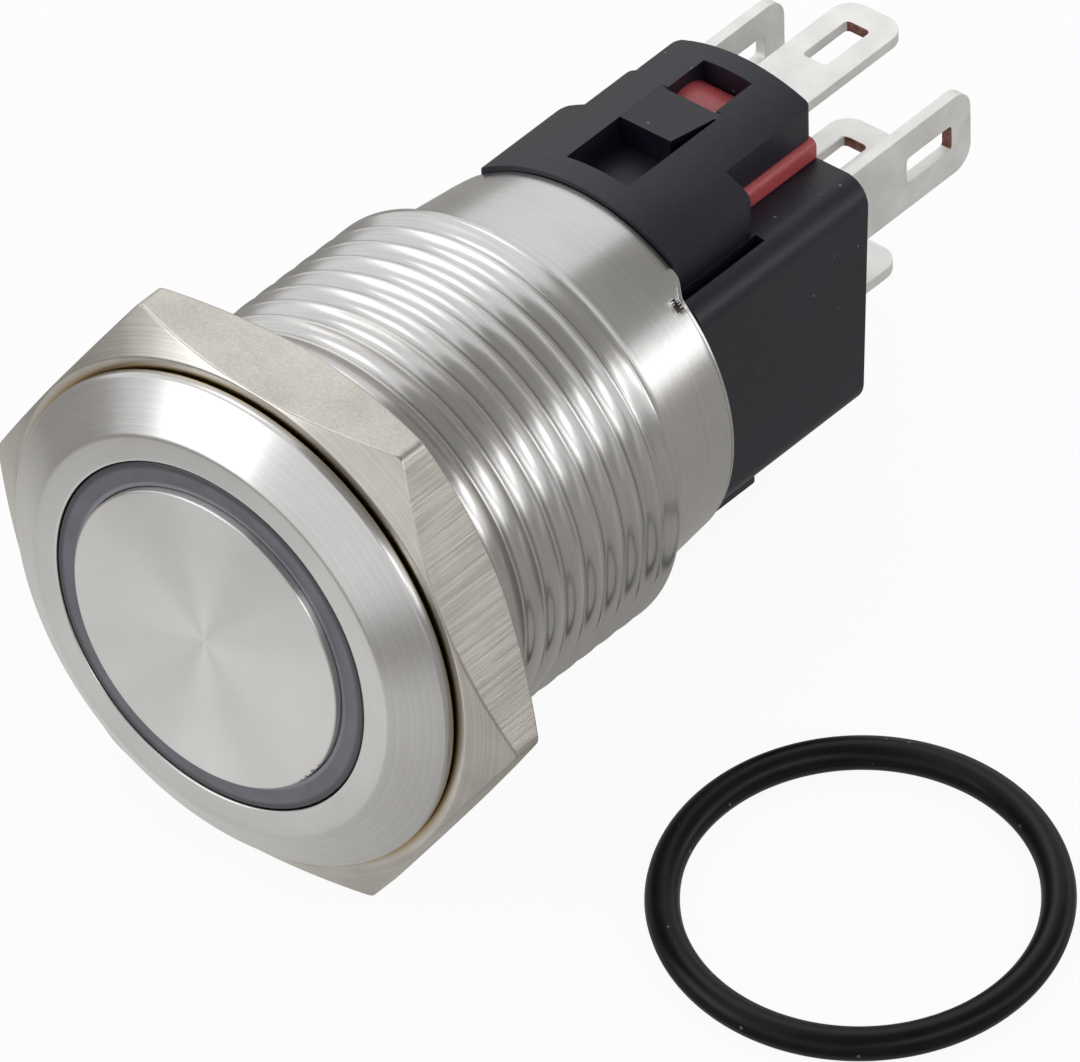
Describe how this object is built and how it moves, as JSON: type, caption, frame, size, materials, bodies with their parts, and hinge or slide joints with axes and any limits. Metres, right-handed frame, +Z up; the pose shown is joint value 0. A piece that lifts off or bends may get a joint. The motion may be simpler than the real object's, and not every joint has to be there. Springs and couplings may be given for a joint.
{
  "type": "pushbutton switch",
  "caption": "Round metal pushbutton switch with a lens ring round a flat button, hexagon nut on a threaded barrel, black contact block with flat lugs, and a loose rubber seal ring.",
  "frame": {"origin": "on the switch's axis, on the underside of the head, where the panel bears", "axes": "+Y along the axis from the button to the lugs, +Z up the column of contact lugs, +X to the right seen from the front"},
  "size_m": [0.0424, 0.0416, 0.0255],
  "materials": {
    "barrel_steel": "turned stainless steel, fine satin",
    "nut_steel": "milled stainless steel, matt blasted faces",
    "disc_steel": "spun stainless steel, concentric lines",
    "lens": "smoky translucent plastic, polished",
    "clear_plastic": "clear moulded plastic",
    "rubber": "moulded rubber, slight sheen",
    "spring_steel": "drawn spring wire",
    "board": "board with lacquer",
    "lamp": "lamp chip, yellowish",
    "black_plastic": "black moulded plastic, fine grain",
    "red_plastic": "dull red moulded plastic",
    "white_plastic": "off-white moulded plastic",
    "lug_metal": "silver-plated brass, satin",
    "contact_metal": "silver-faced brass"
  },
  "bodies": {
    "switch_body": {"body_barrel": "barrel_steel", "panel_seal_ring": "rubber", "return_spring": "spring_steel", "left_lamp_spring": "spring_steel", "right_lamp_spring": "spring_steel", "lamp_board": "board", "lamp_1": "lamp", "lamp_2": "lamp", "lamp_3": "lamp", "lamp_4": "lamp", "contact_block": "black_plastic", "top_cover": "black_plastic", "bottom_cover": "black_plastic", "red_insert": "red_plastic", "upper_contact_lug": "lug_metal", "common_contact_lug": "lug_metal", "lower_contact_lug": "lug_metal", "left_lamp_lug": "lug_metal", "right_lamp_lug": "lug_metal", "upper_contact_rivet": "contact_metal", "lower_contact_rivet": "contact_metal"},
    "button": {"button_disc": "disc_steel", "lens_ring": "lens", "button_plunger": "clear_plastic", "plunger_seal": "rubber", "retaining_clip": "spring_steel", "contact_slider": "white_plastic", "upper_moving_contact": "contact_metal", "lower_moving_contact": "contact_metal"},
    "nut": {"hex_nut": "nut_steel"}
  },
  "joints": [
    {"name": "button_press", "type": "slide", "parent": "switch_body", "child": "button", "axis": [0, 1, 0], "range_m": [0, 0.0016], "stiffness_N_per_m": 800, "springref_m": -0.0004, "deforming": ["return_spring"]},
    {"name": "nut_travel", "type": "slide", "parent": "switch_body", "child": "nut", "axis": [0, 1, 0], "range_m": [0, 0.0118]}
  ]
}
